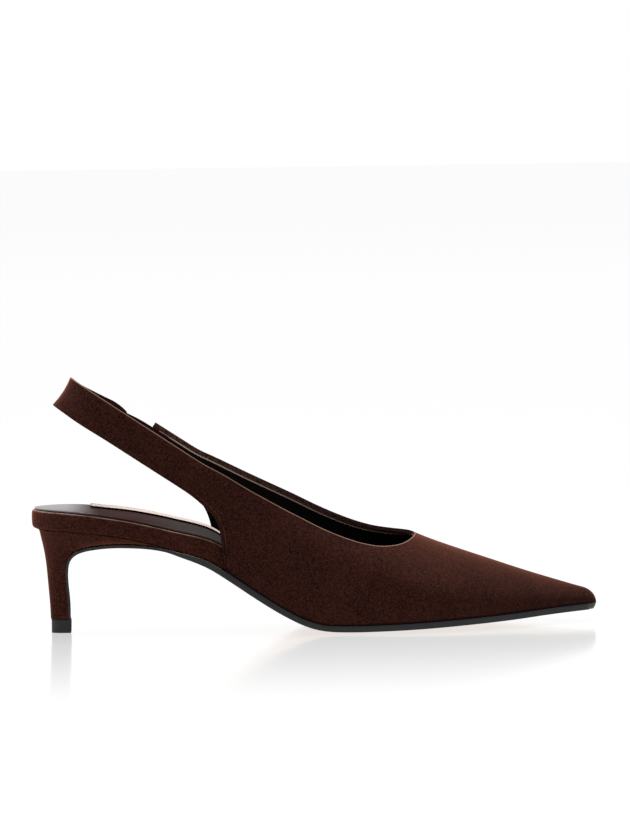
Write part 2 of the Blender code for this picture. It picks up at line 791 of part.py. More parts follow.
def throat_points(side):
    """Points of the topline round the throat, from its front point."""
    points = []
    for degrees in THROAT_ANGLES:
        angle = math.radians(degrees)
        x = THROAT - THROAT_DEPTH * (1 - math.cos(angle))
        out = (THROAT_WIDTH[side] * math.sin(angle)) ** squareness[side](x / LENGTH)
        share = (1 - out) ** (1 / squareness[side](x / LENGTH))
        points.append((x, bed(x) + section_rise(x) * share))
    return points


def topline(side):
    """Path of the topline in the XZ plane, from the throat to the start of the strap."""
    index = 1 if side == OUTER else 2
    low = BALL_BED + TOPLINE_RISE
    points = throat_points(side)
    for row in reversed(TOPLINE):
        points.append((row[0] * LENGTH, low + (SLING_TOP - low) * row[index]))
    end = strap_point(side, STRAP_START, STRAP_WIDTH / 2)
    points = [p for p in points if p[0] > end[0] + STRAP_MEET]
    points.append((end[0], end[2]))
    return curve_through(points)


def rear_edge(side):
    """Path of the quarter's rear edge in the XZ plane, from the feather line up to the strap."""
    foot_x = QUARTER_BACK if side == OUTER else QUARTER_BACK_INNER
    start = strap_point(side, STRAP_START, -STRAP_WIDTH / 2)
    foot = bed(foot_x)
    points = []
    index = 1 if side == OUTER else 2
    for row in reversed(REAR_EDGE):
        x = start[0] + (foot_x - start[0]) * row[0]
        points.append((x, start[2] + (foot - start[2]) * row[index]))
    return curve_through(points)


def share_at(path, x):
    """The share of a path at which it reaches x, when x falls or rises all along it."""
    low, high = 0.0, 1.0
    falling = path(0.0)[0] > path(1.0)[0]
    for _ in range(40):
        middle = (low + high) / 2
        if (path(middle)[0] > x) == falling:
            low = middle
        else:
            high = middle
    return (low + high) / 2


def wall_column(side, start, end):
    """Points of the wall from one place in the XZ plane to another, on the last's surface.

    A place is x and the angle round the section. Towards the strap the surface turns into its face.
    """
    points = []
    for i in range(ROWS + 1):
        t = i / ROWS
        x = start[0] + (end[0] - start[0]) * t
        point = section_point(side, x, start[1] + (end[1] - start[1]) * t)
        height = (point[2] - bed(x)) / section_rise(x)
        on_strap = (1 - ease(x / LENGTH, *STRAP_BLEND)) * ease(height, *STRAP_FOOT)
        point[1] += (side * SLING_HALF_WIDTH - point[1]) * on_strap
        points.append(point)
    return points


def place_on_last(side, point):
    """A point of the XZ plane as x and the angle round the section."""
    x, z = point
    return x, section_angle(side, x, (z - bed(x)) / section_rise(x))


def vamp_columns(side):
    columns = []
    for x in reversed(toe_stations(THROAT + FAN_START, VAMP_STEP)):
        spread = FAN_PINCH + (1 - FAN_PINCH) * ease(x, THROAT + FAN_START, THROAT + FAN_REACH)
        top = THROAT + (x - THROAT) * spread
        columns.append(wall_column(side, (x, 0.0), (top, math.pi / 2)))
    return columns


def quarter_columns(side):
    """Columns from the throat back to the strap."""
    top, rear = topline(side), rear_edge(side)
    foot = rear(0.0)[0]
    front = THROAT + FAN_START * FAN_GAP
    turn = share_at(top, REAR_TOP * LENGTH)
    columns = []
    for i in range(THROAT_COLUMNS):
        t = i / THROAT_COLUMNS
        end = place_on_last(side, top(turn * t**THROAT_CROWDING))
        if i == 0:
            end = (THROAT, math.pi / 2)
        columns.append(wall_column(side, (front + (foot - THROAT) * t, 0.0), end))
    for i in range(REAR_COLUMNS):
        t = i / REAR_COLUMNS
        start = place_on_last(side, rear(t)) if i else (foot, 0.0)
        columns.append(wall_column(side, start, place_on_last(side, top(turn + (1 - turn) * t))))
    return columns


def strap_column(side, reach):
    across = [STRAP_WIDTH * (i / ROWS - 0.5) for i in range(ROWS + 1)]
    return [strap_point(side, reach, place) for place in across]


def outer_strap_columns():
    """Columns of the strap from the outer quarter, round the back, to its end on the inner side."""
    last = math.pi - loop_angle(STRAP_END)
    columns = [strap_column(OUTER, STRAP_START)]
    for i in range(1, STRAP_COLUMNS + 1):
        angle = last * i / STRAP_COLUMNS
        side = OUTER if angle <= math.pi / 2 else INNER
        columns.append(strap_column(side, loop_reach(min(angle, math.pi - angle))))
    return columns


def stub_columns():
    columns = []
    for i in range(STUB_COLUMNS + 1):
        reach = STRAP_START + (STUB_END - STRAP_START) * i / STUB_COLUMNS
        columns.append(strap_column(INNER, reach))
    return columns


def build_upper():
    """Vamp, both quarters and the strap that runs on from the outer one, as one hollow wall."""
    bm = bmesh.new()
    for side, tail in ((OUTER, outer_strap_columns()), (INNER, stub_columns())):
        columns = vamp_columns(side) + quarter_columns(side) + tail
        rows = [add_ring(bm, points) for points in columns]
        for near, far in zip(rows, rows[1:]):
            add_strip(bm, near, far, closed=False)
    bmesh.ops.remove_doubles(bm, verts=bm.verts, dist=1e-6)
    bmesh.ops.recalc_face_normals(bm, faces=bm.faces)
    nose = max(bm.faces, key=lambda face: face.calc_center_median().x)
    if nose.normal.x < 0:
        bmesh.ops.reverse_faces(bm, faces=bm.faces)
    obj = finish("upper", bm, make_material("upper_suede", (0.034, 0.013, 0.010), 0.9))
    wall = obj.modifiers.new("wall", "SOLIDIFY")
    wall.thickness = WALL
    wall.offset = -1.0
    wall.use_even_offset = True
    wall.use_quality_normals = True
    return obj


# Elastic


def build_elastic():
    """The short elastic that joins the strap's end to the inner quarter, behind both."""
    back = STRAP_END - ELASTIC_LAP
    front = STUB_END + ELASTIC_LAP
    outer = WALL + CLEARANCE
    inner = outer + ELASTIC_THICKNESS
    half = ELASTIC_WIDTH / 2
    rings = []
    for i in range(ELASTIC_STEPS + 1):
        reach = back + (front - back) * i / ELASTIC_STEPS
        corners = ((-half, outer), (half, outer), (half, inner), (-half, inner))
        ring = [strap_point(INNER, reach, across, inward) for across, inward in corners]
        rings.append(ring)
    bm = bmesh.new()
    sweep(bm, rings)
    return finish("elastic", bm, make_material("elastic", (0.012, 0.010, 0.010), 0.8))


WIDEST = 0.63 * LENGTH  # where the ball of the foot is
MIDDLE_Y = (edge_y(INNER, WIDEST, VAMP_STAND) + edge_y(OUTER, WIDEST, VAMP_STAND)) / 2


def main():
    for obj in list(bpy.data.objects):
        bpy.data.objects.remove(obj, do_unlink=True)
    build_outsole()
    build_heel_block()
    build_heel_tip()
    build_insole_board()
    build_insole_sock()
    build_sock_panel()
    build_upper()
    build_elastic()


main()
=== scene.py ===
import math

import bmesh
import bpy
from mathutils import Matrix, Vector, kdtree


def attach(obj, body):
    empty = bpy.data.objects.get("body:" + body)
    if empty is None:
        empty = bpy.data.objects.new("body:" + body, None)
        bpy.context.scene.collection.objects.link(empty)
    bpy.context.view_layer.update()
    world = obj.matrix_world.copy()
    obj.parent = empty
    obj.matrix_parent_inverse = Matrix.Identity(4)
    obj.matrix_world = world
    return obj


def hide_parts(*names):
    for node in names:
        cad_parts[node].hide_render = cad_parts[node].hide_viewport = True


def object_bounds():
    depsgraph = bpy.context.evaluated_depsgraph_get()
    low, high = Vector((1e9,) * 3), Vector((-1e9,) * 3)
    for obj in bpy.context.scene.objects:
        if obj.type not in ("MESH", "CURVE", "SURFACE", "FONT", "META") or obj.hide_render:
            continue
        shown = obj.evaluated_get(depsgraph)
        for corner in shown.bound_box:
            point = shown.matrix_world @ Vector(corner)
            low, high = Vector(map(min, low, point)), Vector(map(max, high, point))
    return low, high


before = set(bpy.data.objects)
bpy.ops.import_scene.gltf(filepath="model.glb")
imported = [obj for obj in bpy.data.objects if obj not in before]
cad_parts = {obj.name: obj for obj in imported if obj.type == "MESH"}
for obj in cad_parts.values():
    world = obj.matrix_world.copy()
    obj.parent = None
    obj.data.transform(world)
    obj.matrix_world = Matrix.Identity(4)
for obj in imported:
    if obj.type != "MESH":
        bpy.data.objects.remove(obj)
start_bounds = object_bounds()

# Sizes and places in metres, in the shoe's frame: X runs to the toe, Y to the inner side and
# Z up. A pair gives the two ends of a soft change.
SHOE_LENGTH = start_bounds[1][0] - start_bounds[0][0]
SHOE_HEIGHT = start_bounds[1][2] - start_bounds[0][2]
MERGE_DISTANCE = 2e-6
FAR = 0.02  # distances for the masks are cut off here

# Upper: where its edges run.
THROAT_FRONT_X = 0.0475
TOPLINE_LOW_Z = 0.036
STRAP_FRONT_X = -0.048
STRAP_EDGE = 0.0035  # above the strap's middle; its upper edge lies beyond this
REAR_EDGE_X = -0.041
REAR_EDGE_LOW_Z = 0.031
REAR_EDGE_HIGH_Z = 0.064
REAR_EDGE_AHEAD = 0.001
REAR_EDGE_ABOVE = 0.002
STRAP_SPLIT_X = -0.052  # behind this the strap shows suede on both faces
STUB_SPLIT_X = -0.074  # the same, on the inner side
PALE_SIDE_Y = 0.006  # the cut edge is pale on the outer side of this
PALE_FADE = 0.004

# Upper: facing, cut edge, stitches and shades.
FACING_WIDTH = 0.0024
FACING_STEP = (FACING_WIDTH - 0.0002, FACING_WIDTH + 0.0001)
RAW_LINE = (0.00012, 0.00036)
CUT_EDGE = 0.00032
CUT_LINE = (CUT_EDGE * 0.5, CUT_EDGE * 1.6)
CUT_RIM = (CUT_EDGE, CUT_EDGE * 2.2)
STITCH_INSET = 0.0018
STITCH_LENGTH = 0.0024
STITCH_HALF_SHARE = 0.36
STITCH_WIDTH = 0.00045
STITCH_ROW = (STITCH_WIDTH * 0.4, STITCH_WIDTH)
STITCH_TROUGH = (STITCH_WIDTH, STITCH_WIDTH * 2.6)
STITCH_LEAST = 0.2  # how much of the stitches is left along the strap
TROUGH_DEPTH = 1.6  # for each stitch height
# Width of the painted shadow along the upper's lower edge.
FOOT_LINE = (0.0003, 0.0015)
ALONG_PER_X = 1.2  # the quarter's length along its slope, for each metre of X
STITCH_FADE = (-0.074, -0.058)  # measured along the slope
TOE_DARKENS = (0.050, 0.150)  # measured along the slope; over it the painted shade on the toe deepens

# Upper: the strap in side view, and how it settles.
STRAP_SLOPE = math.radians(33.5)
STRAP_UP = Vector((math.sin(STRAP_SLOPE), 0.0, math.cos(STRAP_SLOPE)))
STRAP_MIDDLE = Vector((-0.1153, 0.0, 0.1107))
STRAP_HALF = 0.0075
SETTLE_X = -0.060
STRAP_TURN_X = -0.104
STRAP_TURN_LENGTH = 0.010
STRAP_PINCH = 0.0009
STRAP_SAG_X = -0.1075
STRAP_SAG = 0.0004
STRAP_SAG_LENGTH = 0.008
INNER_GAP_X = -0.080
INNER_BLEND = 0.010
INNER_DIP_X = -0.1075
INNER_DIP = 0.0010
INNER_DIP_LENGTH = 0.008
INNER_TIP_X = -0.0925
INNER_TIP_LENGTH = 0.0062
INNER_TIP_DROP = 0.0013
TOPLINE_SAG_X = -0.018
TOPLINE_SAG = 0.0013
TOPLINE_SAG_LENGTH = 0.028
TOPLINE_SAG_REACH = 0.012
RIDGE_FADE = 0.008  # the folds die out this near to the middle plane

# Soft folds on the upper: the two ends of each, its half width, and how far
# its middle stands out (above 0) or sinks in (below 0). X and Z are shares of the shoe's
# length and height, from the back and from the floor.
FOLDS = (
    # side, x0, z0, x1, z1, width, height
    ("outer", 0.045, 0.895, 0.062, 0.850, 0.0060, -0.0006),
    ("outer", 0.100, 0.800, 0.235, 0.660, 0.0060, -0.0005),
    ("outer", 0.215, 0.640, 0.300, 0.560, 0.0070, 0.0005),
    ("outer", 0.330, 0.420, 0.385, 0.300, 0.0085, -0.0005),
    ("outer", 0.560, 0.250, 0.640, 0.120, 0.0080, -0.0006),
    ("outer", 0.600, 0.270, 0.680, 0.150, 0.0070, 0.0004),
    ("outer", 0.690, 0.240, 0.790, 0.130, 0.0075, -0.0005),
    ("outer", 0.800, 0.150, 0.900, 0.080, 0.0060, -0.0003),
    ("inner", 0.560, 0.260, 0.650, 0.120, 0.0080, -0.0006),
    ("inner", 0.330, 0.430, 0.390, 0.290, 0.0085, -0.0005),
    ("inner", 0.700, 0.220, 0.800, 0.120, 0.0075, -0.0004),
)

# Sole: the flap on the heel's front, the seam with the upper and the toe's end.
FLAP_FRONT_X = -0.103
FLAP_TOP_Z = 0.042
FLAP_BLEND = 0.004
FLAP_SHIFT = 0.00035
SEAM_START_X = -0.062  # ahead of this the sole's upper face is drawn up to the shoe
SEAM_RISE = 0.00014
SEAM_FACES_UP = 0.5
TIP_START_X = 0.1265
TIP_CHAMFER = 0.0014
TIP_DEPTH = 0.0024
TIP_STRAIGHT = 0.3  # the share of the depth that stays upright
TOE_EDGE_X = 0.118
EDGE_FACES_OUT = 0.7

# Board, sock and the bare strip on it.
BOARD_LINE = (0.0008, 0.0015)
SOCK_TURNS_GREY = (-0.085, -0.055)
SOCK_SHINE = (-0.116, -0.0985)
SOCK_SHINE_LEAST = 0.03
SOCK_SHINE_MORE = 0.95
PANEL_SHADOW = (0.0005, 0.0012)
PANEL_RIM_WIDTH = (0.0002, 0.0006)
PANEL_STEP = 0.0010
PANEL_SIDE = 0.0005
PANEL_LIFT = 0.0002
PANEL_BLEND = 0.006
PANEL_FACES_UP = 0.6

# Floor, light and camera.
FLOOR_HALF = 30.0
FLOOR_DROP = 0.0001
FLOOR_GLOW = 0.93
FLOOR_BASE = (0.05, 0.05, 0.05, 1.0)
FLOOR_GLOSS = 0.38
FLOOR_GLOSS_ROUGHNESS = 0.13
FLOOR_GLOSS_Y = (-0.33, 0.0)  # the reflection fades out towards the camera
WHITE = (1.0, 1.0, 1.0, 1.0)
LAMPS = (
    # name, place, aim, size, watts
    ("top", (-0.05, 0.22, 0.9), (0.02, 0.0, 0.03), (0.7, 0.4), 17.0),
    ("rear", (-1.2, 0.3, 0.9), (-0.10, 0.0, 0.06), (0.6, 0.6), 12.0),
)
CAMERA_PLACE = Vector((-0.1387, -1.9914, 0.2251))
CAMERA_LOOK = Vector((0.0696, 0.9955, -0.0650))
CAMERA_ROLL = math.radians(-0.804)
CAMERA_RANGE = (0.05, 100.0)
FOCAL_PIXELS = 4364.0
LONG_SIDE_PIXELS = 840.0
SENSOR_MM = 36.0

# Colours as seen on screen, 0 to 255. A pair runs from the darker to the lighter one.
SUEDE = ((8, 2, 2), (62, 31, 24))
SUEDE_PATCH = ((30, 14, 11), (44, 22, 17))
PATCH_SHARE = 0.4
SUEDE_SHEEN = (205, 122, 84)
SUEDE_CUT = (150, 118, 102)
PAINTED_TROUGH_SHADE = (14, 5, 4)
STITCH_THREAD = (74, 44, 34)
PAINTED_TOE_SHADE = (20, 9, 7)
PAINTED_FOOT_SHADOW = (6, 3, 3)
FACING = ((32, 18, 14), (84, 54, 44))
LINING = (9, 5, 5)
RAW_EDGE = (205, 180, 170)
LINING_CUT = (140, 114, 104)
RIM = ((10, 5, 4), (26, 14, 11))
RIM_CUT = (146, 118, 104)
BOARD_CUT = (128, 110, 101)
SOLE_EDGE = ((22, 23, 25), (38, 39, 40))
SOLE_LEATHER = ((196, 170, 142), (216, 192, 166))
HEEL_TIP = ((26, 26, 27), (44, 43, 43))
SOCK = ((40, 27, 27), (43, 40, 38))
SOCK_SHADOW = (4, 2, 2)
PANEL = ((143, 130, 122), (154, 141, 132))
PANEL_RIM = (120, 104, 94)
PANEL_SIDE_SHADE = ((12, 7, 6), (34, 22, 17))
ELASTIC = ((10, 5, 4), (38, 22, 18))
BOARD_LIGHT = 1.1
HEEL_LIGHT = 1.12

# Textures: shares of noise values, which run from 0 to 1.
FINE_SHARE = 0.75
GRAIN_RANGE = (0.40, 0.62)
PATCH_RANGE = (0.32, 0.70)
PATCH_HEIGHT = 0.5
LINING_NAP = 0.12
BOARD_CUT_LEAST = 0.35
BOARD_CUT_MORE = 0.5
SOLE_ROUGHNESS_LEAST = 0.28
SOLE_ROUGHNESS_MORE = 0.25


def linear(r, g, b):
    """A colour seen on screen, 0 to 255, as the values a shader takes."""
    out = []
    for value in (r, g, b):
        c = value / 255
        out.append(c / 12.92 if c <= 0.04045 else ((c + 0.055) / 1.055) ** 2.4)
    return (*out, 1.0)


# Materials


class Nodes:
    """Adds shader nodes to a tree and links them."""

    def __init__(self, tree):
        self.tree = tree

    def add(self, kind, **values):
        """A new node. A value goes to its input of that name, or else to the node itself."""
        node = self.tree.nodes.new(kind)
        for key, value in values.items():
            if key in node.inputs:
                node.inputs[key].default_value = value
            else:
                setattr(node, key, value)
        return node

    def link(self, start, end):
        self.tree.links.new(start, end)

    def fill(self, sockets, values):
        """Sets each socket to its value, or links it to its value's output."""
        for socket, value in zip(sockets, values):
            if isinstance(value, (int, float, tuple)):
                socket.default_value = value
            else:
                self.link(value, socket)

    def math(self, operation, *values):
        node = self.add("ShaderNodeMath", operation=operation)
        self.fill(node.inputs, values)
        return node.outputs[0]

    def times(self, first, second):
        return self.math("MULTIPLY", first, second)

    def mix(self, mask, first, second):
        node = self.add("ShaderNodeMix", data_type="RGBA")
        self.fill((node.inputs[0], node.inputs[6], node.inputs[7]), (mask, first, second))
        return node.outputs[2]

    def step(self, value, low, high):
        """0 up to low, rising softly to 1 at high."""
        node = self.add("ShaderNodeMapRange", interpolation_type="SMOOTHSTEP")
        self.fill(node.inputs, (value, low, high))
        return node.outputs[0]

    def near(self, value, low, high):
        """1 up to low, falling softly to 0 at high."""
        return self.math("SUBTRACT", 1.0, self.step(value, low, high))

    def away_from(self, value, place):
        return self.math("ABSOLUTE", self.math("SUBTRACT", value, place))

    def attribute(self, name):
        return self.add("ShaderNodeAttribute", attribute_name=name).outputs["Fac"]

    def place(self):
        """Object coordinates."""
        return self.add("ShaderNodeTexCoord").outputs["Object"]

    def axis(self, name):
        axes = self.add("ShaderNodeSeparateXYZ")
        self.link(self.place(), axes.inputs[0])
        return axes.outputs[name]

    def texture(self, kind, **values):
        node = self.add(kind, **values)
        self.link(self.place(), node.inputs["Vector"])
        return node.outputs

    def noise(self, **values):
        return self.texture("ShaderNodeTexNoise", **values)[0]

    def bump(self, height, strength, distance, over=None):
        """A normal that follows a height, laid over another normal where one is given."""
        node = self.add("ShaderNodeBump", Strength=strength, Distance=distance)
        self.link(height, node.inputs["Height"])
        if over:
            self.link(over, node.inputs["Normal"])
        return node.outputs[0]


class Look(Nodes):
    """The nodes of a new material, whose shader starts with the given inputs."""

    def __init__(self, name, **inputs):
        self.material = bpy.data.materials.new(name)
        self.material.use_nodes = True
        super().__init__(self.material.node_tree)
        self.shader = self.tree.nodes["Principled BSDF"]
        for key, value in inputs.items():
            self.shader.inputs[key.replace("_", " ")].default_value = value

    def put(self, value, name):
        """Links a value to the shader's input of that name."""
        self.link(value, self.shader.inputs[name])

    def shades(self, mask, pair, light=1.0):
        """A colour between the two of a pair."""
        return self.mix(mask, *(linear(*(v * light for v in shade)) for shade in pair))

    def tint(self, base, colour, mask, share):
        """Lays a colour over the base, by a share of the mask."""
        return self.mix(self.times(mask, share), base, linear(*colour))

    def nap(self):
        return self.add("ShaderNodeGroup", node_tree=NAP).outputs


def make_nap():
    """A shared effect: fine grain, soft patches and a height, read from object coordinates."""
    group = bpy.data.node_groups.new("nap", "ShaderNodeTree")
    for label in ("Grain", "Patch", "Height"):
        group.interface.new_socket(label, in_out="OUTPUT", socket_type="NodeSocketFloat")
    n = Nodes(group)
    out = n.add("NodeGroupOutput")
    fine = n.noise(Scale=1500.0, Detail=3.0, Roughness=0.7)
    coarse = n.noise(Scale=620.0, Detail=4.0, Roughness=0.65)
    patch = n.noise(Scale=75.0, Detail=3.0, Roughness=0.55, Distortion=0.6)
    grain = n.math("ADD", n.times(fine, FINE_SHARE), n.times(coarse, 1.0 - FINE_SHARE))
    n.link(n.step(grain, *GRAIN_RANGE), out.inputs["Grain"])
    n.link(n.step(patch, *PATCH_RANGE), out.inputs["Patch"])
    n.link(n.math("ADD", grain, n.times(patch, PATCH_HEIGHT)), out.inputs["Height"])
    return group


NAP = make_nap()


class Suede(Look):
    """A suede's nodes, with the outputs of its nap, its colour and its bump."""

    def __init__(self, name, light=1.0):
        super().__init__(
            name,
            Roughness=1.0,
            Specular_IOR_Level=0.04,
            Sheen_Weight=0.27,
            Sheen_Roughness=0.35,
            Sheen_Tint=linear(*SUEDE_SHEEN),
        )
        self.fibre = self.nap()
        grain = self.shades(self.fibre["Grain"], SUEDE, light)
        patch = self.shades(self.fibre["Patch"], SUEDE_PATCH, light)
        self.colour = self.mix(PATCH_SHARE, grain, patch)
        self.lift = self.bump(self.fibre["Height"], strength=0.30, distance=0.00012)
        self.put(self.colour, "Base Color")
        self.put(self.lift, "Normal")


def upper_suede():
    """Suede with a pale cut edge, a stitch row inside the rear edge with painted shade in its
    groove, painted shade towards the toe and a painted shadow along the foot line.
    """
    n = Suede("upper_suede")
    along = n.attribute("along")
    line = n.times(n.near(n.attribute("edge_distance"), *CUT_LINE), n.attribute("cut_edge"))
    colour = n.tint(n.colour, SUEDE_CUT, line, share=0.62)

    ahead = n.times(n.step(along, *STITCH_FADE), 1.0 - STITCH_LEAST)
    ahead = n.math("ADD", ahead, STITCH_LEAST)
    away = n.away_from(n.attribute("stitch_distance"), STITCH_INSET)
    # Painted shade: the groove beside the stitch row is coloured darker.
    trough = n.times(n.near(away, *STITCH_TROUGH), ahead)
    colour = n.tint(colour, PAINTED_TROUGH_SHADE, trough, share=0.30)
    middle = n.away_from(n.math("FRACT", n.math("DIVIDE", along, STITCH_LENGTH)), 0.5)
    dash = n.math("LESS_THAN", middle, STITCH_HALF_SHARE)
    stitch = n.times(n.times(n.near(away, *STITCH_ROW), dash), ahead)
    colour = n.tint(colour, STITCH_THREAD, stitch, share=0.5)

    # Painted shade: the forepart is coloured darker towards the toe.
    colour = n.tint(colour, PAINTED_TOE_SHADE, n.step(along, *TOE_DARKENS), share=0.30)
    # Painted shadow: a dark band along the upper's lower edge, above the sole.
    foot = n.near(n.attribute("foot_distance"), *FOOT_LINE)
    colour = n.tint(colour, PAINTED_FOOT_SHADOW, foot, share=0.9)
    n.put(colour, "Base Color")

    height = n.math("SUBTRACT", stitch, n.times(trough, TROUGH_DEPTH))
    n.put(n.bump(height, strength=0.7, distance=0.0003, over=n.lift), "Normal")
    return n.material


def lining():
    """Smooth black lining, with the suede facing turned in along the topline."""
    n = Look("lining", Roughness=0.85, Specular_IOR_Level=0.05)
    nap = n.nap()
    top = n.attribute("top_distance")
    inside = n.near(top, *FACING_STEP)
    colour = n.mix(inside, linear(*LINING), n.shades(nap["Grain"], FACING))
    raw = n.near(n.away_from(top, FACING_WIDTH), *RAW_LINE)
    colour = n.tint(colour, RAW_EDGE, raw, share=0.68)
    line = n.times(n.near(n.attribute("edge_distance"), *CUT_LINE), n.attribute("cut_edge"))
    n.put(n.tint(colour, LINING_CUT, line, share=0.35), "Base Color")
    height = n.math("ADD", inside, n.times(nap["Height"], LINING_NAP))
    n.put(n.bump(height, strength=0.5, distance=0.0003), "Normal")
    return n.material


def cut_edge():
    """The raw edge of the suede and its lining: brown, paler towards the face."""
    n = Look("cut_edge", Roughness=1.0, Specular_IOR_Level=0.02)
    pale = n.times(n.near(n.attribute("edge_distance"), *CUT_RIM), n.attribute("cut_edge"))
    body = n.shades(n.nap()["Grain"], RIM)
    n.put(n.tint(body, RIM_CUT, pale, share=0.45), "Base Color")
    return n.material


def board_suede():
    """The covered platform: suede, with the cover's cut edge along the sock."""
    n = Suede("board_suede", BOARD_LIGHT)
    line = n.near(n.attribute("edge_distance"), *BOARD_LINE)
    broken = n.math("ADD", n.times(n.fibre["Patch"], BOARD_CUT_MORE), BOARD_CUT_LEAST)
    n.put(n.tint(n.colour, BOARD_CUT, line, broken), "Base Color")
    return n.material


def sole_edge():
    """The sole's painted black edge, with uneven gloss."""
    n = Look("sole_edge", Specular_IOR_Level=0.22)
    wear = n.noise(Scale=240.0, Detail=4.0)
    n.put(n.shades(wear, SOLE_EDGE), "Base Color")
    rough = n.math("ADD", n.times(wear, SOLE_ROUGHNESS_MORE), SOLE_ROUGHNESS_LEAST)
    n.put(rough, "Roughness")
    return n.material


def sole_leather():
    """The tan underside, a little glossy and finely pored."""
    n = Look("sole_leather", Roughness=0.42, Coat_Weight=0.15)
    n.put(n.shades(n.noise(Scale=45.0, Detail=4.0), SOLE_LEATHER), "Base Color")
    pore = n.texture("ShaderNodeTexVoronoi", Scale=1300.0)["Distance"]
    n.put(n.bump(pore, strength=0.25, distance=0.00008), "Normal")
    return n.material


def heel_rubber():
    """The black top piece, faintly speckled."""
    n = Look("heel_tip", Roughness=0.6, Specular_IOR_Level=0.15)
    n.put(n.shades(n.noise(Scale=900.0, Detail=2.0), HEEL_TIP), "Base Color")
    return n.material


def sock_leather():
    """Smooth dark leather, greyer towards the front and glossy at its back end."""
    n = Look(
        "sock_leather",
        Roughness=0.5,
        Specular_IOR_Level=0.0,
        Coat_Roughness=0.24,
        Coat_IOR=1.75,
    )
    along = n.axis("X")
    shine = n.times(n.near(along, *SOCK_SHINE), SOCK_SHINE_MORE)
    n.put(n.math("ADD", shine, SOCK_SHINE_LEAST), "Coat Weight")
    leather = n.shades(n.step(along, *SOCK_TURNS_GREY), SOCK)
    shadow = n.near(n.attribute("panel_distance"), *PANEL_SHADOW)
    n.put(n.mix(shadow, leather, linear(*SOCK_SHADOW)), "Base Color")
    pore = n.noise(Scale=1100.0, Detail=3.0)
    n.put(n.bump(pore, strength=0.2, distance=0.00006), "Normal")
    return n.material


def panel_leather():
    """The bare pale strip on the sock, tan round its cut edge."""
    n = Look("sock_panel", Roughness=0.6, Specular_IOR_Level=0.3)
    face = n.shades(n.noise(Scale=160.0, Detail=3.0), PANEL)
    rim = n.near(n.attribute("edge_distance"), *PANEL_RIM_WIDTH)
    n.put(n.tint(face, PANEL_RIM, rim, share=0.7), "Base Color")
    return n.material


def panel_edge():
    """The strip's sides, coloured dark as painted shade under its edge."""
    n = Look("panel_edge", Roughness=0.9, Specular_IOR_Level=0.02)
    n.put(n.shades(n.nap()["Grain"], PANEL_SIDE_SHADE), "Base Color")
    return n.material


def woven_elastic():
    """Dark elastic with a slanting weave."""
    n = Look("elastic", Roughness=0.9, Specular_IOR_Level=0.03)
    wave = n.texture(
        "ShaderNodeTexWave", Scale=420.0, Distortion=1.2, Detail=2.0, bands_direction="DIAGONAL"
    )["Fac"]
    n.put(n.shades(wave, ELASTIC), "Base Color")
    n.put(n.bump(wave, strength=0.6, distance=0.0003), "Normal")
    return n.material


# Meshes


def merged_node(name):
    """A CAD node's mesh in the shoe's frame, with its doubled points merged."""
    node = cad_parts[name]
    bm = bmesh.new()
    bm.from_mesh(node.data)
    bm.transform(node.matrix_world)
    bmesh.ops.remove_doubles(bm, verts=bm.verts, dist=MERGE_DISTANCE)
    return bm


def is_sharp(edge, degrees):
    return len(edge.link_faces) == 2 and edge.calc_face_angle(0.0) > math.radians(degrees)


def copy_of(name, crease_degrees=50.0, levels=1, by_part=False):
    """A rounded copy of a CAD node, with its sharp edges kept sharp.

    by_part numbers the faces by the parts that the sharp edges divide; otherwise all are 0.
    """
    bm = merged_node(name)
    bmesh.ops.join_triangles(
        bm,
        faces=bm.faces,
        angle_face_threshold=math.radians(25),
        angle_shape_threshold=math.radians(50),
    )
    layer = bm.edges.layers.float.new("crease_edge")
    sharp = {edge for edge in bm.edges if is_sharp(edge, crease_degrees)}
    for edge in sharp:
        edge[layer] = 1.0
    for face in bm.faces:
        face.material_index = 0
    if by_part:
        number_parts(bm, sharp)
    obj = new_object(name + "_look", bm)
    smooth = obj.modifiers.new("smooth", "SUBSURF")
    smooth.levels = levels
    smooth.render_levels = levels
    graph = bpy.context.evaluated_depsgraph_get()
    done = bpy.data.meshes.new_from_object(obj.evaluated_get(graph))
    obj.modifiers.clear()
    obj.data = done
    return obj


def new_object(name, bm):
    """Turns a bmesh into an object of the scene."""
    mesh = bpy.data.meshes.new(name)
    bm.to_mesh(mesh)
    bm.free()
    obj = bpy.data.objects.new(name, mesh)
    bpy.context.scene.collection.objects.link(obj)
    return obj


def number_parts(bm, sharp):
    """Numbers the faces by the part they lie in: 0 the largest, 1 the next, 2 all others."""
    parts = []
    seen = set()
    for start in bm.faces:
        if start in seen:
            continue
        seen.add(start)
        stack, part = [start], []
        while stack:
            face = stack.pop()
            part.append(face)
            for edge in face.edges:
                if edge in sharp:
                    continue
                for other in edge.link_faces:
                    if other not in seen:
                        seen.add(other)
                        stack.append(other)
        parts.append(part)
    parts.sort(key=lambda part: -sum(face.calc_area() for face in part))
    for number, part in enumerate(parts):
        for face in part:
            face.material_index = min(number, 2)


def points_along(bm, degrees, steps):
    """Points along a mesh's sharp edges, close together, for measuring distances."""
    points = []
    for edge in bm.edges:
        if is_sharp(edge, degrees):
            a, b = (vert.co for vert in edge.verts)
            points += [a.lerp(b, i / steps) for i in range(steps)]
    bm.free()
    return points


def sharp_lines(mesh, degrees=40.0):
    bm = bmesh.new()
    bm.from_mesh(mesh)
    return points_along(bm, degrees, steps=3)


def tree_of(points):
    tree = kdtree.KDTree(len(points))
    for i, point in enumerate(points):
        tree.insert(point, i)
    tree.balance()
    return tree


def value_attribute(obj, name, function):
    """Stores the function's value at each point of the mesh, for the material."""
    layer = obj.data.attributes.new(name, "FLOAT", "POINT")
    layer.data.foreach_set("value", [function(vert.co) for vert in obj.data.vertices])


def distance_attribute(obj, name, points):
    """Stores how far each point of the mesh lies from the nearest of the points."""
    tree = tree_of(points)
    value_attribute(obj, name, lambda place: min(tree.find(place)[2], FAR))


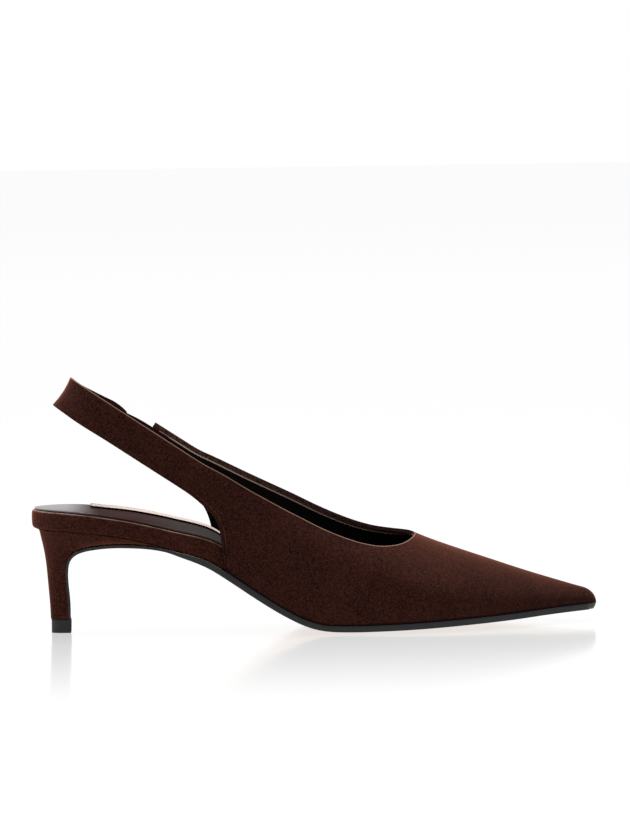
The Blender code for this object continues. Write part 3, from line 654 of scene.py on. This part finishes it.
def finish(obj, node, slot, *materials, sharp=40.0):
    """Gives a piece its materials and its place in the frame."""
    for material in materials:
        obj.data.materials.append(material)
    obj.data.shade_smooth()
    obj.data.set_sharp_from_angle(angle=math.radians(sharp))
    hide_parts(node)
    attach(obj, "root")


def bell(distance, width):
    return math.exp(-((distance / width) ** 2))


def clamp(value):
    return max(0.0, min(1.0, value))


# Upper


def across_strap(point):
    """How far a point lies above the strap's middle line, square to it."""
    return (point - STRAP_MIDDLE).dot(STRAP_UP)


def on_top_edge(point):
    """True on the topline and the strap's upper edge."""
    if point.x > THROAT_FRONT_X:
        return False
    if point.x < STRAP_FRONT_X:
        return across_strap(point) > STRAP_EDGE
    if point.x < REAR_EDGE_X + REAR_EDGE_AHEAD:
        return point.z > REAR_EDGE_HIGH_Z + REAR_EDGE_ABOVE
    return point.z > TOPLINE_LOW_Z


def on_rear_edge(point):
    """True on the quarter's rear edges and the strap's lower edge."""
    if point.x >= REAR_EDGE_X or point.z < REAR_EDGE_LOW_Z or on_top_edge(point):
        return False
    return point.x < STRAP_FRONT_X or point.z < REAR_EDGE_HIGH_Z


def pale_share(point):
    """How pale the cut edge is: along the outer side's topline and the front of the throat."""
    return clamp(1.0 - (point.y - PALE_SIDE_Y) / PALE_FADE) if on_top_edge(point) else 0.0


def fold_height(point):
    """How far the folds push a point of the upper outward."""
    total = 0.0
    for side, x0, z0, x1, z1, width, height in FOLDS:
        if (point.y > 0) != (side == "inner"):
            continue
        ax, az = (x0 - 0.5) * SHOE_LENGTH, z0 * SHOE_HEIGHT
        dx, dz = (x1 - x0) * SHOE_LENGTH, (z1 - z0) * SHOE_HEIGHT
        share = clamp(((point.x - ax) * dx + (point.z - az) * dz) / (dx * dx + dz * dz))
        away = math.hypot(point.x - ax - share * dx, point.z - az - share * dz)
        total += height * bell(away, width)
    return total * min(1.0, abs(point.y) / RIDGE_FADE)


def sag_topline(obj):
    """Lets the outer side's topline sink a little between the strap and the throat."""
    tree = tree_of([p for p in sharp_lines(obj.data) if p.y < 0 and on_top_edge(p)])
    for vert in obj.data.vertices:
        if vert.co.y < 0:
            near = bell(tree.find(vert.co)[2], TOPLINE_SAG_REACH)
            vert.co.z -= TOPLINE_SAG * near * bell(vert.co.x - TOPLINE_SAG_X, TOPLINE_SAG_LENGTH)


def settle_strap(point):
    """Sinks the strap's back in between its edges, and bends its two sides.

    On the outer side its lower edge sags. On the inner side it dips, and its end droops.
    """
    across = across_strap(point) / STRAP_HALF
    back = clamp((STRAP_TURN_X - point.x) / STRAP_TURN_LENGTH)
    point.x += STRAP_PINCH * back * (1 - across * across)
    if point.y < 0:
        sag = bell(point.x - STRAP_SAG_X, STRAP_SAG_LENGTH)
        point.z -= STRAP_SAG * sag * max(0.0, -across)
        return
    share = min(1.0, point.y / INNER_BLEND)
    point.z -= share * INNER_DIP * bell(point.x - INNER_DIP_X, INNER_DIP_LENGTH)
    if INNER_TIP_X < point.x < INNER_GAP_X:
        end = (point.x - INNER_TIP_X) / INNER_TIP_LENGTH
        point.z -= INNER_TIP_DROP * end * end * max(0.0, across)


def soften_upper(obj):
    """Moves both faces of the wall alike: topline, strap and folds."""
    sag_topline(obj)
    for vert in obj.data.vertices:
        if vert.co.x < SETTLE_X:
            settle_strap(vert.co)
        outward = 1.0 if vert.co.y > 0 else -1.0
        vert.co.y += outward * fold_height(vert.co)


def build_upper():
    obj = copy_of("upper", crease_degrees=45.0, levels=2, by_part=True)
    soften_upper(obj)
    lines = sharp_lines(obj.data)
    top = [p for p in lines if on_top_edge(p)]
    rear = [p for p in lines if on_rear_edge(p)]
    foot = [p for p in lines if not on_top_edge(p) and not on_rear_edge(p)]
    distance_attribute(obj, "edge_distance", lines)
    distance_attribute(obj, "top_distance", top)
    distance_attribute(obj, "stitch_distance", rear)
    distance_attribute(obj, "foot_distance", foot)
    value_attribute(obj, "along", lambda point: point.x * ALONG_PER_X)
    value_attribute(obj, "cut_edge", pale_share)
    for face in obj.data.polygons:
        split = STUB_SPLIT_X if face.center.y > 0 else STRAP_SPLIT_X
        if face.material_index == 1 and face.center.x < split:
            face.material_index = 0
    finish(obj, "upper", "upper_suede", upper_suede(), lining(), cut_edge())


# The other pieces


def build_sole():
    """The sole, with its flap close to the heel, its seam closed and its toe end chamfered."""
    obj = copy_of("outsole", crease_degrees=40.0)
    verts = obj.data.vertices
    for vert in verts:
        if vert.co.x < FLAP_FRONT_X and vert.co.z < FLAP_TOP_Z:
            vert.co.x -= FLAP_SHIFT * min(1.0, (FLAP_TOP_Z - vert.co.z) / FLAP_BLEND)
    for vert in verts:
        if vert.normal.z > SEAM_FACES_UP and vert.co.x > SEAM_START_X:
            vert.co.z += SEAM_RISE
    tip_top = max(vert.co.z for vert in verts if vert.co.x > TIP_START_X)
    for vert in verts:
        if vert.co.x > TIP_START_X:
            vert.co.x -= TIP_CHAMFER * clamp((tip_top - vert.co.z) / TIP_DEPTH - TIP_STRAIGHT)
    for face in obj.data.polygons:
        n = face.normal
        at_toe = face.center.x > TOE_EDGE_X and abs(n.z) < EDGE_FACES_OUT
        face.material_index = 0 if at_toe or abs(n.y) > EDGE_FACES_OUT else 1
    finish(obj, "outsole", "sole_leather", sole_edge(), sole_leather())


def build_board():
    """The board, whose cover ends in a cut edge along the sock's rim."""
    obj = copy_of("insole_board", crease_degrees=60.0)
    distance_attribute(obj, "edge_distance", points_along(merged_node("insole_sock"), 60.0, steps=8))
    finish(obj, "insole_board", "board_suede", board_suede(), sharp=60.0)


def build_heel():
    """The covered heel and the top piece that it stands on."""
    obj = copy_of("heel_block", crease_degrees=60.0, levels=2)
    finish(obj, "heel_block", "heel_suede", Suede("heel_suede", HEEL_LIGHT).material)
    finish(copy_of("heel_tip"), "heel_tip", "heel_tip", heel_rubber())


def build_sock():
    """The sock, with a dark line where the pale strip's edge casts its shadow."""
    obj = copy_of("insole_sock", crease_degrees=60.0, levels=2)
    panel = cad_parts["sock_panel"]
    points = [panel.matrix_world @ vert.co for vert in panel.data.vertices]
    back = min(p.x for p in points)
    steps = int((max(p.x for p in points) - back) / PANEL_STEP) + 1
    rim = []
    for i in range(steps):
        x = back + PANEL_STEP * i
        near = [p for p in points if abs(p.x - x) < PANEL_STEP * 2]
        if near:
            side = min(p.y for p in near)
            foot = min(p.z for p in near if p.y < side + PANEL_SIDE)
            rim.append(Vector((x, side, foot)))
    distance_attribute(obj, "panel_distance", rim)
    finish(obj, "insole_sock", "sock_leather", sock_leather())


def build_panel():
    """The bare strip, lifted a little off the sock on its inner side."""
    obj = copy_of("sock_panel")
    verts = obj.data.vertices
    middle = sum(vert.co.y for vert in verts) / len(verts)
    for vert in verts:
        vert.co.z += PANEL_LIFT * clamp((vert.co.y - middle) / PANEL_BLEND + 1.0)
    distance_attribute(obj, "edge_distance", sharp_lines(obj.data, degrees=35.0))
    for face in obj.data.polygons:
        face.material_index = 0 if abs(face.normal.z) > PANEL_FACES_UP else 1
    finish(obj, "sock_panel", "sock_panel", panel_leather(), panel_edge())


def build_elastic():
    finish(copy_of("elastic"), "elastic", "elastic", woven_elastic())


# Stage


def build_floor():
    """A white floor, whose soft reflection fades towards the camera."""
    bm = bmesh.new()
    bmesh.ops.create_grid(bm, x_segments=1, y_segments=1, size=FLOOR_HALF)
    bmesh.ops.translate(bm, verts=bm.verts, vec=(0.0, 0.0, -FLOOR_DROP))
    floor = new_object("floor", bm)
    n = Look(
        "floor",
        Roughness=1.0,
        Specular_IOR_Level=0.0,
        Base_Color=FLOOR_BASE,
        Emission_Color=WHITE,
        Emission_Strength=FLOOR_GLOW,
    )
    mirror = n.add("ShaderNodeBsdfAnisotropic", Color=WHITE, Roughness=FLOOR_GLOSS_ROUGHNESS)
    gloss = n.times(n.step(n.axis("Y"), *FLOOR_GLOSS_Y), FLOOR_GLOSS)
    both = n.add("ShaderNodeMixShader")
    n.fill(both.inputs, (gloss, n.shader.outputs[0], mirror.outputs[0]))
    n.link(both.outputs[0], n.tree.nodes["Material Output"].inputs["Surface"])
    floor.data.materials.append(n.material)


def light_scene():
    """A white sky, a soft lamp above and a weaker one behind the heel."""
    world = bpy.data.worlds.new("studio")
    world.use_nodes = True
    bpy.context.scene.world = world
    sky = world.node_tree.nodes["Background"]
    sky.inputs["Color"].default_value = WHITE
    sky.inputs["Strength"].default_value = 1.0
    for name, place, aim, size, watts in LAMPS:
        data = bpy.data.lights.new(name, "AREA")
        data.shape = "RECTANGLE"
        data.size, data.size_y = size
        data.energy = watts
        lamp = bpy.data.objects.new(name, data)
        bpy.context.scene.collection.objects.link(lamp)
        lamp.location = place
        lamp.rotation_euler = (Vector(aim) - Vector(place)).to_track_quat("-Z", "Y").to_euler()


def place_camera():
    """The photo's camera: its place, its direction and its small roll."""
    data = bpy.data.cameras.new("camera")
    data.sensor_width = SENSOR_MM
    data.lens = FOCAL_PIXELS * SENSOR_MM / LONG_SIDE_PIXELS
    data.clip_start, data.clip_end = CAMERA_RANGE
    view = CAMERA_LOOK.normalized()
    right = view.cross(Vector((0.0, 0.0, 1.0))).normalized()
    up = right.cross(view)
    across = right * math.cos(CAMERA_ROLL) + up * math.sin(CAMERA_ROLL)
    over = up * math.cos(CAMERA_ROLL) - right * math.sin(CAMERA_ROLL)
    camera = bpy.data.objects.new("camera", data)
    bpy.context.scene.collection.objects.link(camera)
    rows = [(across[i], over[i], -view[i], CAMERA_PLACE[i]) for i in range(3)]
    camera.matrix_world = Matrix((*rows, (0.0, 0.0, 0.0, 1.0)))
    bpy.context.scene.camera = camera


build_upper()
build_sole()
build_board()
build_heel()
build_sock()
build_panel()
build_elastic()
build_floor()
light_scene()
place_camera()
bpy.context.scene.view_settings.view_transform = "Standard"
